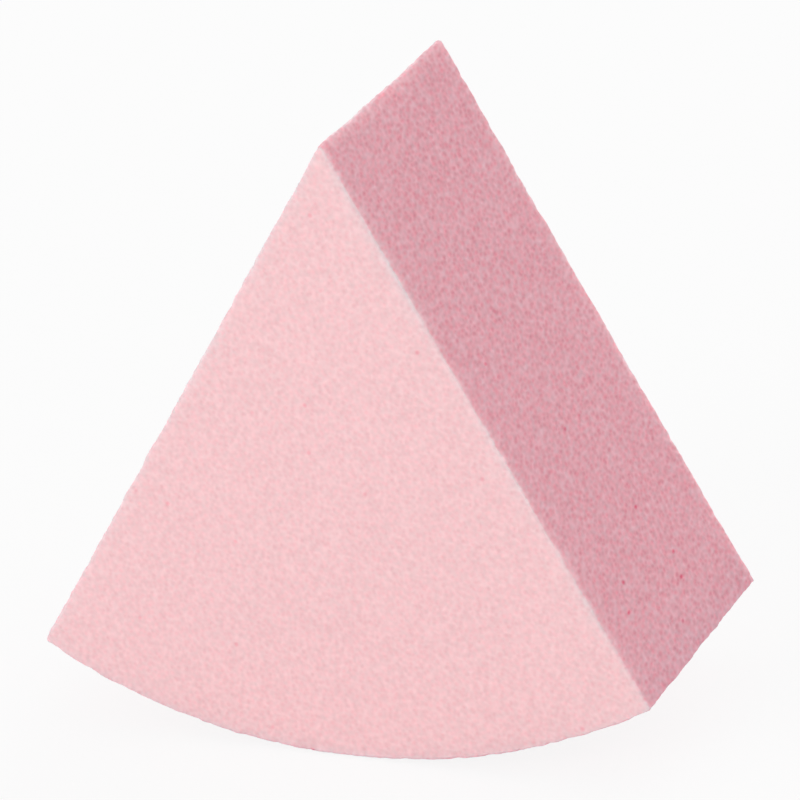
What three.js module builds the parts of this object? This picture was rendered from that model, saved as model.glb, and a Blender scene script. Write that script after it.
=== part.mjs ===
// A wedge of make-up sponge: one slice of a round of pink foam, standing on its curved edge, tip up.
// Millimetres, +Z up. The slice's two flat faces look along -Y (front) and +Y (back).
// The origin is the lowest point of the curved edge, half way through the thickness.

import * as THREE from "three";

// Driving dimensions
const ROUND_RADIUS = 50; // from the tip to the curved edge
const SLICES_PER_ROUND = 6; // slices cut from one round of foam
const THICKNESS = 26; // between the two flat faces
const TIP_RADIUS = 0.6; // blunt tip where the two straight cuts meet
const CORNER_RADIUS = 0.6; // where a straight cut meets the curved edge
const EDGE_RADIUS = 0.4; // worn edge around each flat face

// How finely the round stretches are faceted. The odd count puts a level facet under the tip.
const CURVED_EDGE_FACETS = 25;
const TIP_FACETS = 6;
const CORNER_FACETS = 4;
const EDGE_FACETS = 3;

const HALF_ANGLE = Math.PI / SLICES_PER_ROUND;
const STRAIGHT_DOWN = -Math.PI / 2;

// Points on an arc, turning anticlockwise from one angle to another.
function arcPoints(centre, radius, fromAngle, toAngle, facets) {
  return new THREE.EllipseCurve(centre.x, centre.y, radius, radius, fromAngle, toAngle).getPoints(facets);
}

// The slice seen from the front: x to the right, y up, with the tip at the top.
function sliceOutline() {
  const tip = new THREE.Vector2(0, ROUND_RADIUS);

  // A corner's circle touches the straight cut and, from inside, the curved edge.
  const cornerReach = ROUND_RADIUS - CORNER_RADIUS;
  const cornerAngle = HALF_ANGLE - Math.asin(CORNER_RADIUS / cornerReach);
  const cornerCentre = (side) =>
    new THREE.Vector2(
      side * cornerReach * Math.sin(cornerAngle),
      tip.y - cornerReach * Math.cos(cornerAngle),
    );

  // The tip's circle touches both straight cuts.
  const tipCentre = new THREE.Vector2(0, tip.y - TIP_RADIUS / Math.sin(HALF_ANGLE));

  // The directions in which each stretch of the outline starts and ends, going round once.
  const curveStart = STRAIGHT_DOWN - cornerAngle;
  const curveEnd = STRAIGHT_DOWN + cornerAngle;
  const rightCutFaces = HALF_ANGLE;
  const leftCutFaces = Math.PI - HALF_ANGLE;
  const roundAgain = curveStart + 2 * Math.PI;

  const curvedEdge = arcPoints(tip, ROUND_RADIUS, curveStart, curveEnd, CURVED_EDGE_FACETS);
  const rightCorner = arcPoints(cornerCentre(1), CORNER_RADIUS, curveEnd, rightCutFaces, CORNER_FACETS);
  const bluntTip = arcPoints(tipCentre, TIP_RADIUS, rightCutFaces, leftCutFaces, TIP_FACETS);
  const leftCorner = arcPoints(cornerCentre(-1), CORNER_RADIUS, leftCutFaces, roundAgain, CORNER_FACETS);

  // A corner starts where the curved edge ends and the other way round, so those points are left out once.
  return new THREE.Shape([...curvedEdge, ...rightCorner.slice(1), ...bluntTip, ...leftCorner.slice(0, -1)]);
}

// The block of foam, with the edge around each flat face rounded off inside the outline.
function foamWedge() {
  const geometry = new THREE.ExtrudeGeometry(sliceOutline(), {
    depth: THICKNESS - 2 * EDGE_RADIUS,
    steps: 1,
    bevelEnabled: true,
    bevelThickness: EDGE_RADIUS,
    bevelSize: EDGE_RADIUS,
    bevelOffset: -EDGE_RADIUS,
    bevelSegments: EDGE_FACETS,
  });
  const foam = new THREE.MeshStandardMaterial({ color: 0xf5c8cb, roughness: 0.95, metalness: 0 });
  const wedge = new THREE.Mesh(geometry, foam);
  wedge.name = "foam_wedge";
  // The outline stands upright, and its thickness runs from the back to the front.
  wedge.rotation.x = Math.PI / 2;
  wedge.position.y = THICKNESS / 2 - EDGE_RADIUS;
  return wedge;
}

const spongeWedge = new THREE.Group();
spongeWedge.add(foamWedge());

export default spongeWedge;
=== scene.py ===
"""A wedge of pink make-up sponge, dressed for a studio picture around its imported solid."""

import math

import bmesh
import bpy
import numpy as np
from mathutils import Matrix, Vector


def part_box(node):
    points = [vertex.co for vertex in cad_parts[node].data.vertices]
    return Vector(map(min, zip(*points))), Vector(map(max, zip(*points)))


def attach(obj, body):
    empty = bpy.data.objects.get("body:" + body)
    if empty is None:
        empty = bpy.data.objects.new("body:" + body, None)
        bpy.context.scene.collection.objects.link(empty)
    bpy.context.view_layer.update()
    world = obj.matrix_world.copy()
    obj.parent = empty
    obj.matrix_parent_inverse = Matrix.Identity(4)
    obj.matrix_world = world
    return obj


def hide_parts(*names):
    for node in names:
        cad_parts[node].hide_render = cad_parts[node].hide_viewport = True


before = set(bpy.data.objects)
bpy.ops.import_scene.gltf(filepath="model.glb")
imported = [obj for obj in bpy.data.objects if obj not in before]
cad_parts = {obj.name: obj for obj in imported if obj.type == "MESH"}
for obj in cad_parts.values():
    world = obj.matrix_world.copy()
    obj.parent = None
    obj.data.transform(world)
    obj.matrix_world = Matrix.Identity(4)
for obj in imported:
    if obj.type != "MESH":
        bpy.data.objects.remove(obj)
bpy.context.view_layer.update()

# Viewpoint
# The wedge is seen from its right and a little from above, through a long lens, leaning slightly.
# The place, turn and focal length were found by laying the slice's corners over the picture.
CAMERA_PLACE = (0.17628, -0.44785, 0.21183)
CAMERA_AZIMUTH = math.radians(21.426)
CAMERA_ELEVATION = math.radians(21.270)
CAMERA_ROLL = math.radians(-2.368)
FOCAL_LENGTH_MM = 299.74
SENSOR_MM = 36.0

camera_data = bpy.data.cameras.new("viewpoint")
camera_data.lens = FOCAL_LENGTH_MM
camera_data.sensor_width = SENSOR_MM
camera = bpy.data.objects.new("viewpoint", camera_data)
camera.matrix_world = (
    Matrix.Translation(CAMERA_PLACE)
    @ Matrix.Rotation(CAMERA_AZIMUTH, 4, "Z")
    @ Matrix.Rotation(math.pi / 2 - CAMERA_ELEVATION, 4, "X")
    @ Matrix.Rotation(CAMERA_ROLL, 4, "Z")
)
bpy.context.scene.collection.objects.link(camera)
bpy.context.scene.camera = camera

# Foam wedge
# The whole object is one block of fine open-cell foam, sliced from a round with a knife.
# The cuts leave crisp edges that crumble a little, walls that draw in slightly as the foam
# springs back, and the foam's cells cut open all over the surface.

# Sizes in metres. The outline radius blunts the tip and the two lower corners. The edge radius rounds the
# rims of the front and back faces, a little less along the curve than along the cuts.
ROUND_RADIUS = 0.050
HALF_ANGLE = math.radians(30)
TIP_Z = ROUND_RADIUS
box_low, box_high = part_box("foam_wedge")
HALF_THICKNESS = (box_high[1] - box_low[1]) / 2
OUTLINE_RADIUS = 0.00026
CUT_EDGE_RADIUS, CURVE_EDGE_RADIUS, EDGE_BLEND = 0.00022, 0.00018, 0.002

# How many steps the grids have, and how much closer together they lie near the edges.
ALONG_STEPS = 320
ACROSS_STEPS = 168
CROWDING, CROWDING_REACH = 3.0, 0.0006


def triangle_grid(steps):
    """Rows of 1, 2, 3 ... points from the tip down. Gives each point's share of the way down and of the
    way across its row, and the triangles that join neighbouring rows, wound anticlockwise."""
    row = np.repeat(np.arange(steps + 1), np.arange(1, steps + 2))
    place = np.arange(row.size) - row * (row + 1) // 2
    here = np.arange(row.size)
    below = here + row + 1
    upper = row < steps
    between = upper & (place < row)
    pointing_up = np.stack([here, below, below + 1], axis=1)[upper]
    pointing_down = np.stack([here, below + 1, here + 1], axis=1)[between]
    return row / steps, place / np.maximum(row, 1), np.concatenate([pointing_up, pointing_down])


def square_grid(steps_u, steps_v):
    """A grid of points whose two shares run from 0 to 1, and two triangles for each of its squares."""
    u, v = np.meshgrid(np.linspace(0, 1, steps_u + 1), np.linspace(0, 1, steps_v + 1), indexing="ij")
    number = np.arange(u.size).reshape(u.shape)
    a, b = number[:-1, :-1].ravel(), number[1:, :-1].ravel()
    c, d = number[1:, 1:].ravel(), number[:-1, 1:].ravel()
    return u.ravel(), v.ravel(), np.concatenate([np.stack([a, b, c], 1), np.stack([a, c, d], 1)])


def crowded(share, length):
    """Even shares of a length, moved towards both of its ends so that a grid is finest along the edges.
    They follow the running total of 1 + CROWDING * exp(-distance to the end / CROWDING_REACH)."""
    fine_steps = 4000
    place = np.linspace(0, length, fine_steps + 1)
    ends = np.exp(-place / CROWDING_REACH) + np.exp((place - length) / CROWDING_REACH)
    total = np.cumsum(1 + CROWDING * ends)
    return np.interp(share, (total - total[0]) / (total[-1] - total[0]), place / length)


def in_slice(reach, turn, depth):
    """A point of the slice: reach from the tip, turned from straight down, at a depth from the middle."""
    return np.stack([reach * np.sin(turn), depth, TIP_Z - reach * np.cos(turn)], axis=1)


def sharp_slice():
    """The five faces of the slice before its edges are softened, and where each face lies on a square
    sheet that has them all side by side. Gives points, places on the sheet and triangles."""
    margin = 0.0015
    wide, high = ROUND_RADIUS, 2 * HALF_THICKNESS
    column, shelf = wide + 2 * margin, high + 2 * margin
    faces = []

    down, across, triangles = triangle_grid(ALONG_STEPS)
    down, across = crowded(down, wide), crowded(across, wide)
    turn = (2 * across - 1) * HALF_ANGLE
    for number, side in enumerate((-1, 1)):
        points = in_slice(down * ROUND_RADIUS, turn, np.full_like(turn, side * HALF_THICKNESS))
        places = points[:, [0, 2]] + (wide / 2 + margin, margin + column * number)
        faces.append((points, places, triangles[:, ::-side]))

    along, through, triangles = square_grid(ALONG_STEPS, ACROSS_STEPS)
    along, through = crowded(along, wide), crowded(through, high)
    depth = (2 * through - 1) * HALF_THICKNESS
    right_cut = (along * ROUND_RADIUS, np.full_like(along, HALF_ANGLE), 1)
    left_cut = (along * ROUND_RADIUS, np.full_like(along, -HALF_ANGLE), -1)
    curved_edge = (np.full_like(along, ROUND_RADIUS), (2 * along - 1) * HALF_ANGLE, -1)
    for number, (reach, turn, side) in enumerate((right_cut, left_cut, curved_edge)):
        shelf_corner = (column + margin, margin + shelf * number)
        places = np.stack([along * wide, through * high], axis=1) + shelf_corner
        faces.append((in_slice(reach, turn, depth), places, triangles[:, ::side]))

    starts = np.cumsum([0] + [len(points) for points, _, _ in faces[:-1]])
    return (
        np.concatenate([points for points, _, _ in faces]),
        np.concatenate([places for _, places, _ in faces]) / (2 * column),
        np.concatenate([triangles + start for start, (_, _, triangles) in zip(starts, faces)]),
    )


def softened(points, outline_radius, edge_radius):
    """Rounds the slice. Seen from the front, a point outside a slice smaller by outline_radius lies some
    way out from it, and that way is shortened so that the sharp outline becomes a rounded one. Then,
    where it is less than edge_radius inside both the outline and a flat face, it moves onto a quarter
    circle. The edge radius may change from point to point. Gives the new points and the directions that
    they face."""
    no_length = 1e-12
    tip = np.array([0, TIP_Z])
    inner_tip = tip - (0, outline_radius / math.sin(HALF_ANGLE))
    flat = points[:, [0, 2]]

    # The nearest point of the smaller slice: off the cut on the same side, no further than the middle, and
    # off the curve.
    side = np.where(flat[:, :1] < 0, -1.0, 1.0)
    cut_faces = np.concatenate([side * math.cos(HALF_ANGLE), np.full_like(side, math.sin(HALF_ANGLE))], 1)
    beyond = np.sum((flat - inner_tip) * cut_faces, axis=1, keepdims=True)
    core = flat - np.maximum(beyond, 0) * cut_faces
    core = np.where(core[:, :1] * side < 0, inner_tip, core)
    reach = np.linalg.norm(core - tip, axis=1, keepdims=True)
    core = tip + (core - tip) * np.minimum(1, (ROUND_RADIUS - outline_radius) / reach)

    way = flat - core
    out = np.linalg.norm(way, axis=1, keepdims=True)
    heading = way / np.maximum(out, no_length)
    from_tip = np.linalg.norm(flat - tip, axis=1, keepdims=True)
    curve_faces = (flat - tip) / np.maximum(from_tip, no_length)
    straight_on = np.maximum(np.sum(heading * cut_faces, axis=1), np.sum(heading * curve_faces, axis=1))
    out = out[:, 0] * straight_on

    outward = np.maximum(0, out - outline_radius + edge_radius)
    depth = np.abs(points[:, 1])
    endward = np.maximum(0, depth - HALF_THICKNESS + edge_radius)
    corner = np.hypot(outward, endward)
    back = 1 - edge_radius / corner
    flat = core + (out - outward * back)[:, None] * heading
    depth = depth - endward * back

    front_or_back = np.sign(points[:, 1])
    facing = np.stack([outward * heading[:, 0], endward * front_or_back, outward * heading[:, 1]], axis=1)
    return np.stack([flat[:, 0], depth * front_or_back, flat[:, 1]], axis=1), facing / corner[:, None]


def face_gaps(points):
    """How far each point of the sharp slice lies from its five faces: two cuts, front, back and curve."""
    across = np.abs(points[:, 0]) * math.cos(HALF_ANGLE)
    down = (TIP_Z - points[:, 2]) * math.sin(HALF_ANGLE)
    curve = ROUND_RADIUS - np.hypot(points[:, 0], TIP_Z - points[:, 2])
    front, back = HALF_THICKNESS + points[:, 1], HALF_THICKNESS - points[:, 1]
    return np.array([down - across, down + across, front, back, curve])


def smooth_noise(points, size, seed):
    """Random values on a lattice of a size, blended smoothly between its corners, from -1 to 1."""
    count = 64
    table = np.random.default_rng(seed).uniform(-1, 1, (count, count, count))
    corner = np.floor(points / size).astype(int)
    share = points / size - corner
    share = share * share * (3 - 2 * share)
    total = np.zeros(len(points))
    for offset in np.ndindex(2, 2, 2):
        weight = np.prod(np.where(offset, share, 1 - share), axis=1)
        total += weight * table[tuple(((corner + offset) % count).T)]
    return total


def cut_cells(points, size, smallest, largest, seed):
    """How deep each point lies in a cell that the knife cut open. Each box of a lattice holds one cell at
    a random place, with a random radius in box sizes. The depth is the most by which a cell's radius
    squared exceeds the distance to its centre squared, as a share of the largest radius squared."""
    count = 48
    generator = np.random.default_rng(seed)
    centres = generator.random((count, count, count, 3))
    radii = smallest + (largest - smallest) * generator.random((count, count, count))
    scaled = points / size
    box = np.floor(scaled).astype(int)
    depth = np.zeros(len(points))
    for offset in np.ndindex(3, 3, 3):
        near = box + offset - 1
        place = tuple((near % count).T)
        gap = np.sum((scaled - near - centres[place]) ** 2, axis=1)
        depth = np.maximum(depth, radii[place] ** 2 - gap)
    return depth / largest**2


# Relief, from the broad to the fine: the block's unevenness, walls that draw in, a curve that is full in
# its middle and drawn up at its ends, crumbled edges that have lost a little, and open cells. The cells are
# longer through the thickness, the way the foam rose, and their radii are shares of the cell size.
SWELL, SWELL_SIZE = 0.00006, 0.012
UNEVEN, UNEVEN_SIZE = 0.00004, 0.0030
WALL_DRAW_IN = 0.00015
CURVE_BULGE, CURVE_END_SHARE = 0.0002, 0.4
CRUMBLE, CRUMBLE_SIZE, CRUMBLE_REACH, CRUMBLE_LOSS = 0.00008, 0.0007, 0.0005, 0.3
CELL_STRETCH = 1.8
CELL_SIZE, CELL_DEPTH_FACE, CELL_DEPTH_WALL = 0.00042, 0.000030, 0.000060
SMALLEST_CELL, LARGEST_CELL = 0.35, 0.75

# Rounded slice. The edge radius changes bit by bit from the curve's to the cuts'.
sharp_points, sheet_places, triangles = sharp_slice()
gaps = face_gaps(sharp_points)
curve_gap = gaps[4]
edge_radius = np.interp(curve_gap, (0, EDGE_BLEND), (CURVE_EDGE_RADIUS, CUT_EDGE_RADIUS))
points, facing = softened(sharp_points, OUTLINE_RADIUS, edge_radius)

# A point is nearest to its own face, and the next nearest face tells how far off the closest edge is.
edge_gap = np.sort(gaps, axis=0)[1]

# The cut wall's share is 1 on the cuts and on the curve, and 0 on the front and back faces. A wall draws in
# most at its middle: half of the full amount comes along it and half through it.
cut_wall = 1 - facing[:, 1] ** 2
reach_share = np.hypot(points[:, 0], points[:, 2] - TIP_Z) / ROUND_RADIUS
depth_share = points[:, 1] / HALF_THICKNESS
draw_in = cut_wall * (np.maximum(0, 2 * reach_share * (1 - reach_share)) + 0.5 * (1 - depth_share**2))
turn = np.arctan2(points[:, 0], TIP_Z - points[:, 2])
on_curve = np.maximum(0, facing[:, 0] * np.sin(turn) - facing[:, 2] * np.cos(turn))
bulge = on_curve * (np.cos(turn * math.pi / 2 / HALF_ANGLE) - CURVE_END_SHARE)

near_edge = np.exp(-((edge_gap / CRUMBLE_REACH) ** 2))
crumble = near_edge * (smooth_noise(points, CRUMBLE_SIZE, seed=4) - CRUMBLE_LOSS)
squeezed_points = points / (1, CELL_STRETCH, 1)
cells = cut_cells(squeezed_points, CELL_SIZE, SMALLEST_CELL, LARGEST_CELL, seed=5)
cell_depth = CELL_DEPTH_FACE + (CELL_DEPTH_WALL - CELL_DEPTH_FACE) * cut_wall
lift = (
    SWELL * smooth_noise(points, SWELL_SIZE, seed=1)
    + UNEVEN * smooth_noise(points, UNEVEN_SIZE, seed=2)
    - WALL_DRAW_IN * draw_in
    + CURVE_BULGE * bulge
    + CRUMBLE * crumble
    - cell_depth * (cells - cells.mean())
)
points = points + lift[:, None] * facing

# Rims for the material, both painted light. Along the cuts the edges carry a painted highlight, pale in
# patches, and less so towards the curve. Along the curve they carry painted shade, further in on the walls
# than on the faces.
EDGE_LIGHT_REACH, EDGE_LIGHT_LOSS = 0.0005, 0.4
EDGE_LIGHT_PATCH_SIZE, EDGE_LIGHT_PATCH_MEAN, EDGE_LIGHT_PATCH_SPREAD = 0.003, 0.85, 0.5
CURVE_SHADE_REACH_FACE, CURVE_SHADE_REACH_WALL = 0.0006, 0.0016

cut_edge_gap = np.sort(gaps[:4], axis=0)[1]
patchy = EDGE_LIGHT_PATCH_MEAN + EDGE_LIGHT_PATCH_SPREAD * smooth_noise(points, EDGE_LIGHT_PATCH_SIZE, seed=6)
edge_light = np.clip(np.exp(-cut_edge_gap / EDGE_LIGHT_REACH) * patchy * (1 - EDGE_LIGHT_LOSS * reach_share), 0, 1)
curve_shade_reach = CURVE_SHADE_REACH_FACE + (CURVE_SHADE_REACH_WALL - CURVE_SHADE_REACH_FACE) * cut_wall
curve_shade = np.exp(-np.maximum(edge_gap, curve_gap) / curve_shade_reach)

# The flat map lays the five faces side by side, so that the material can be baked onto it.
mesh = bpy.data.meshes.new("foam_block")
mesh.from_pydata(points, [], triangles)
sheet_map = mesh.uv_layers.new(name="OFBake")
sheet_map.uv.foreach_set("vector", sheet_places[triangles.ravel()].ravel().astype(np.float32))
for name, values in (("cut_wall", cut_wall), ("edge_light", edge_light), ("curve_shade", curve_shade)):
    mesh.attributes.new(name, "FLOAT", "POINT").data.foreach_set("value", values.astype(np.float32))

# The faces share their edge points exactly, so merging them closes the block.
MERGE_DISTANCE = 1e-7

closing = bmesh.new()
closing.from_mesh(mesh)
bmesh.ops.remove_doubles(closing, verts=closing.verts, dist=MERGE_DISTANCE)
closing.to_mesh(mesh)
closing.free()
mesh.shade_smooth()

foam_block = bpy.data.objects.new("foam_block", mesh)
bpy.context.scene.collection.objects.link(foam_block)


class Socket:
    """An output of a shader node. Arithmetic on it adds Math nodes to its material."""

    def __init__(self, tree, link):
        self.tree = tree
        self.link = link

    @staticmethod
    def node(tree, kind, settings, sockets):
        """Adds any node: its settings first, then a value or a link for each named or numbered socket."""
        made = tree.nodes.new("ShaderNode" + kind)
        for name, value in settings.items():
            setattr(made, name, value)
        for name, value in sockets.items():
            if isinstance(value, Socket):
                tree.links.new(value.link, made.inputs[name])
            else:
                made.inputs[name].default_value = value
        return made

    def maths(self, operation, *values):
        """Adds a Math node, and gives its result."""
        made = Socket.node(self.tree, "Math", {"operation": operation}, dict(enumerate(values)))
        return Socket(self.tree, made.outputs[0])

    def __add__(self, other):
        return self.maths("ADD", self, other)

    def __mul__(self, other):
        return self.maths("MULTIPLY", self, other)

    def __sub__(self, other):
        return self.maths("SUBTRACT", self, other)

    def __rsub__(self, other):
        return self.maths("SUBTRACT", other, self)

    __radd__ = __add__
    __rmul__ = __mul__

    def clamped(self):
        """The same number, kept between 0 and 1."""
        return self.maths("MAXIMUM", self.maths("MINIMUM", self, 1.0), 0.0)


def new_material(name):
    """An empty node material, with its tree and its output node."""
    material = bpy.data.materials.new(name)
    material.use_nodes = True
    material.node_tree.nodes.clear()
    return material, material.node_tree, material.node_tree.nodes.new("ShaderNodeOutputMaterial")


FACE_PINK = (0.939, 0.682, 0.690, 1)
# Painted shade: the walls get a rosier copy of the face pink, the colour the foam takes on its shaded side.
SHADED_WALL_PINK = (0.965, 0.603, 0.671, 1)
ROSY_PINK = (0.93, 0.35, 0.42, 1)
# Painted shade: the deep pink that darkens the pores and the cut-open cells.
CELL_SHADE_PINK = (0.88, 0.10, 0.20, 1)
# Painted highlight: the paler, greyer pinks laid along the cut edges, on the faces and on the walls.
EDGE_LIGHT_FACE_PINK = (0.75, 0.71, 0.725, 1)
EDGE_LIGHT_WALL_PINK = (0.93, 0.82, 0.845, 1)
# Painted shade: a tint that takes red out of the edges along the curve, where the underside gets little
# light.
CURVE_SHADE_TINT = (0.76, 0.96, 0.98, 1)
EDGE_LIGHT_SHARE, CURVE_SHADE_SHARE = 0.95, 0.5
GRAIN_SIZE, FINE_CELL_SIZE, TINT_SIZE = 0.00032, 0.00039, 0.00046
PORE_SPACING, PORE_RADIUS = 0.0030, 0.00024
BUMP_STRENGTH, BUMP_DEPTH = 0.6, 0.00008

# How much of each shows on a face of the round and on a cut wall.
# The walls' higher rosiness is painted shade as well.
ROSY, ROSY_SPREAD = (0.2, 0.4), (0.15, 0.75)
# The pores, hollows and grain are painted shade and light; these say how strongly each is painted.
PORE_SHADE, HOLLOW_SHADE, GRAIN_SHADING = (0.3, 0.8), (0.13, 0.31), (0.16, 0.23)

foam, tree, output = new_material("foam")
place = Socket(tree, Socket.node(tree, "TexCoord", {}, {}).outputs["Object"])
squeeze = {0: place, 1: (1, 1 / CELL_STRETCH, 1)}
position = Socket(tree, Socket.node(tree, "VectorMath", {"operation": "MULTIPLY"}, squeeze).outputs[0])


def attribute(name):
    """A value that the mesh keeps for each of its points."""
    return Socket(tree, Socket.node(tree, "Attribute", {"attribute_name": name}, {}).outputs["Fac"])


def noise(size):
    """Smooth noise of a size, around 0."""
    sockets = {"Vector": position, "Scale": 1 / size, "Detail": 0.0}
    return Socket(tree, Socket.node(tree, "TexNoise", {}, sockets).outputs["Fac"]) - 0.5


def mixed(share, first, second, blend="MIX"):
    """Two colours blended by a share. They are the Mix node's inputs 6 and 7, and its output 2."""
    settings = {"data_type": "RGBA", "blend_type": blend}
    made = Socket.node(tree, "Mix", settings, {0: share, 6: first, 7: second})
    return Socket(tree, made.outputs[2])


def nearest_cell(size):
    """The distance to the nearest of random points, in sizes."""
    made = Socket.node(tree, "TexVoronoi", {}, {"Vector": position, "Scale": 1 / size})
    return Socket(tree, made.outputs["Distance"])


wall = attribute("cut_wall")


def face_to_wall(shares):
    """A number that is the first share on the faces of the round and the second on the cut walls."""
    on_face, on_wall = shares
    return on_face + wall * (on_wall - on_face)


tint = noise(TINT_SIZE)
grain = noise(GRAIN_SIZE)
# The walls are rosier than the faces: painted shade, as the foam turns pinker on its shaded side.
rosy = face_to_wall(ROSY) + tint * face_to_wall(ROSY_SPREAD)
pink = mixed(wall, FACE_PINK, SHADED_WALL_PINK)
pink = mixed(rosy.clamped(), pink, ROSY_PINK)
# Painted highlight along the cut edges.
edge_light_pink = mixed(wall, EDGE_LIGHT_FACE_PINK, EDGE_LIGHT_WALL_PINK)
pink = mixed(attribute("edge_light") * EDGE_LIGHT_SHARE, pink, edge_light_pink)
# Painted shade along the edges by the curve.
pink = mixed(attribute("curve_shade") * CURVE_SHADE_SHARE, pink, CURVE_SHADE_TINT, "MULTIPLY")

# Pores and the cut-open hollows get painted shade, darkened towards a deep pink. A pore's shade is full
# within a third of its radius and gone at its rim. A hollow's fades from its middle to two thirds of a cell
# away.
pore = (1.5 - nearest_cell(PORE_SPACING) * (1.5 * PORE_SPACING / PORE_RADIUS)).clamped()
pink = mixed(pore * face_to_wall(PORE_SHADE), pink, CELL_SHADE_PINK)
hollow = (1.0 - nearest_cell(FINE_CELL_SIZE) * 1.5).clamped()
pink = mixed(hollow * face_to_wall(HOLLOW_SHADE), pink, CELL_SHADE_PINK)
# Painted light and shade of the fine relief: the colour is lightened and darkened by the grain that also
# raises the bump, more on the walls.
light = 1.0 + grain * face_to_wall(GRAIN_SHADING)
colour = mixed(1.0, pink, light, "MULTIPLY")

height = grain - hollow
sockets = {"Strength": BUMP_STRENGTH, "Distance": BUMP_DEPTH, "Height": height}
bump = Socket.node(tree, "Bump", {}, sockets)
shader = Socket.node(
    tree,
    "BsdfPrincipled",
    {"subsurface_method": "BURLEY"},
    {
        "Base Color": colour,
        "Roughness": 0.95,
        "Specular IOR Level": 0.15,
        "Subsurface Weight": 1.0,
        "Subsurface Radius": (1.0, 0.3, 0.35),
        "Subsurface Scale": 0.0012,
        "Normal": Socket(tree, bump.outputs["Normal"]),
    },
)
tree.links.new(shader.outputs["BSDF"], output.inputs["Surface"])
mesh.materials.append(foam)

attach(foam_block, "root")
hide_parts("foam_wedge")

# Floor
# A plain white sheet under the wedge. To the camera it is white, with only a little of the shadow.
FLOOR_REACH = 3.0
FLOOR_WHITE = (0.88, 0.88, 0.88, 1)
SHADOW_SHOWN = 0.12

floor_mesh = bpy.data.meshes.new("floor")
corners = [(-1, -1), (1, -1), (1, 1), (-1, 1)]
floor_z = points[:, 2].min()
floor_points = [(x * FLOOR_REACH, y * FLOOR_REACH, floor_z) for x, y in corners]
floor_mesh.from_pydata(floor_points, [], [(0, 1, 2, 3)])
floor = bpy.data.objects.new("floor", floor_mesh)
bpy.context.scene.collection.objects.link(floor)


def seen_directly(tree):
    """1 for what the camera sees, also by way of gloss or glass, and 0 for light that falls on things."""
    path = Socket.node(tree, "LightPath", {}, {})
    camera_ray, glossy_ray, clear_ray = (
        Socket(tree, path.outputs[name])
        for name in ("Is Camera Ray", "Is Glossy Ray", "Is Transmission Ray")
    )
    return (camera_ray + glossy_ray + clear_ray).clamped()


paper, tree, output = new_material("paper")
sheet = Socket.node(tree, "BsdfDiffuse", {}, {"Color": FLOOR_WHITE})
white = Socket.node(tree, "Emission", {}, {"Color": (1, 1, 1, 1), "Strength": 1.0})
shares = {0: seen_directly(tree) * (1 - SHADOW_SHOWN)}
shaders = {1: Socket(tree, sheet.outputs[0]), 2: Socket(tree, white.outputs[0])}
both = Socket.node(tree, "MixShader", {}, shares | shaders)
tree.links.new(both.outputs[0], output.inputs["Surface"])
floor_mesh.materials.append(paper)

# Light
# Even studio light: a pale room all round, a large soft lamp in front on the left, a little above the
# wedge, and another behind it that picks out the upper edges.
ROOM_LIGHT = 0.64
LAMP_AIM = (0, 0, 0.02)
LAMP_SIZE = 0.8
FRONT_LAMP_PLACE, FRONT_LAMP_POWER = (-0.58, -1.22, 0.45), 7.3
BACK_LAMP_PLACE, BACK_LAMP_POWER = (0.1, 1.35, 0.45), 8.0

world = bpy.data.worlds.new("room")
bpy.context.scene.world = world
world.use_nodes = True
tree = world.node_tree
tree.nodes.clear()
strength = ROOM_LIGHT + seen_directly(tree) * (1 - ROOM_LIGHT)
air = Socket.node(tree, "Background", {}, {"Color": (1, 1, 1, 1), "Strength": strength})
Socket.node(tree, "OutputWorld", {}, {"Surface": Socket(tree, air.outputs[0])})


def soft_lamp(name, place, power):
    """A round lamp that faces the wedge."""
    lamp_data = bpy.data.lights.new(name, "AREA")
    lamp_data.shape = "DISK"
    lamp_data.size = LAMP_SIZE
    lamp_data.energy = power
    lamp = bpy.data.objects.new(name, lamp_data)
    lamp.location = place
    lamp.rotation_euler = (Vector(LAMP_AIM) - Vector(place)).to_track_quat("-Z", "Y").to_euler()
    bpy.context.scene.collection.objects.link(lamp)


soft_lamp("front_lamp", FRONT_LAMP_PLACE, FRONT_LAMP_POWER)
soft_lamp("back_lamp", BACK_LAMP_PLACE, BACK_LAMP_POWER)

bpy.context.scene.view_settings.view_transform = "Standard"
